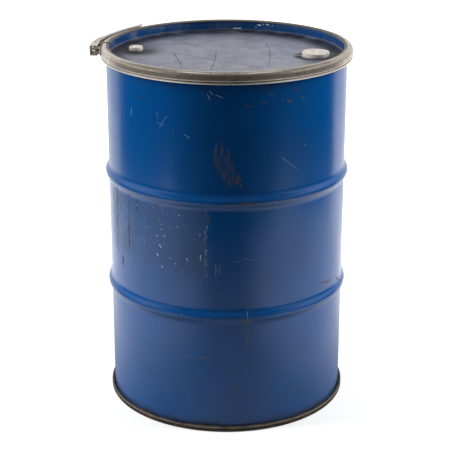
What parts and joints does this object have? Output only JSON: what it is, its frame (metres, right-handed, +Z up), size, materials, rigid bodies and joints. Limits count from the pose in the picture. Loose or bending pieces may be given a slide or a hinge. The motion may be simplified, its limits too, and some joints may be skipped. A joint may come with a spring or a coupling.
{
  "type": "open-head steel drum",
  "caption": "Worn blue 200 litre steel drum with rolling hoops, a lift-off lid with two plugged bungs, and a closing ring with a lever lock.",
  "frame": {"origin": "on the drum's axis, on the plane of the bottom chime's foot", "axes": "+Z up along the drum's axis, +X towards the large bung's side, the lever lock on the -X side"},
  "size_m": [0.6246, 0.5999, 0.88],
  "materials": {
    "blue_paint": "glossy, scratched and chipped, with rust spots",
    "bottom_paint": "worn and stained brown",
    "galvanised": "dull galvanised, stained",
    "zinc": "satin",
    "cap_paint": "cream lacquer",
    "rubber": "matt",
    "compound": "matt"
  },
  "bodies": {
    "drum": {"body_shell": "blue_paint", "bottom_head": "bottom_paint", "seam_compound": "compound"},
    "lid": {"lid": "blue_paint", "lid_gasket": "rubber", "large_flange": "zinc", "large_flange_gasket": "rubber", "large_plug": "zinc", "large_plug_gasket": "rubber", "large_cap_seal": "cap_paint", "small_flange": "zinc", "small_flange_gasket": "rubber", "small_plug": "zinc", "small_plug_gasket": "rubber", "small_cap_seal": "cap_paint"},
    "ring": {"closing_ring": "galvanised", "lever_bracket": "galvanised", "fork_bracket": "galvanised", "bracket_rivets": "zinc", "pivot_pin": "zinc"},
    "lever": {"lever": "galvanised", "link_pin": "zinc"},
    "link": {"link_bail": "galvanised"}
  },
  "joints": [
    {"name": "ring_lift", "type": "slide", "parent": "drum", "child": "ring", "axis": [0, 0, 1], "range_m": [0, 0.24], "deforming": ["closing_ring"]},
    {"name": "lid_lift", "type": "slide", "parent": "drum", "child": "lid", "axis": [0, 0, 1], "range_m": [0, 0.12]},
    {"name": "lever_swing", "type": "hinge", "parent": "ring", "child": "lever", "pos_m": [-0.31364, 0.02896, 0.8677], "axis": [0, 0, 1], "range_deg": [0, 150]},
    {"name": "link_swing", "type": "hinge", "parent": "lever", "child": "link", "pos_m": [-0.30658, 0.05915, 0.8677], "axis": [0, 0, 1], "range_deg": [-150, 0]}
  ],
  "couplings": [
    {"joint": "lid_lift", "follows": "ring_lift", "ratio": 0.5},
    {"joint": "link_swing", "follows": "lever_swing", "ratio": -1}
  ]
}
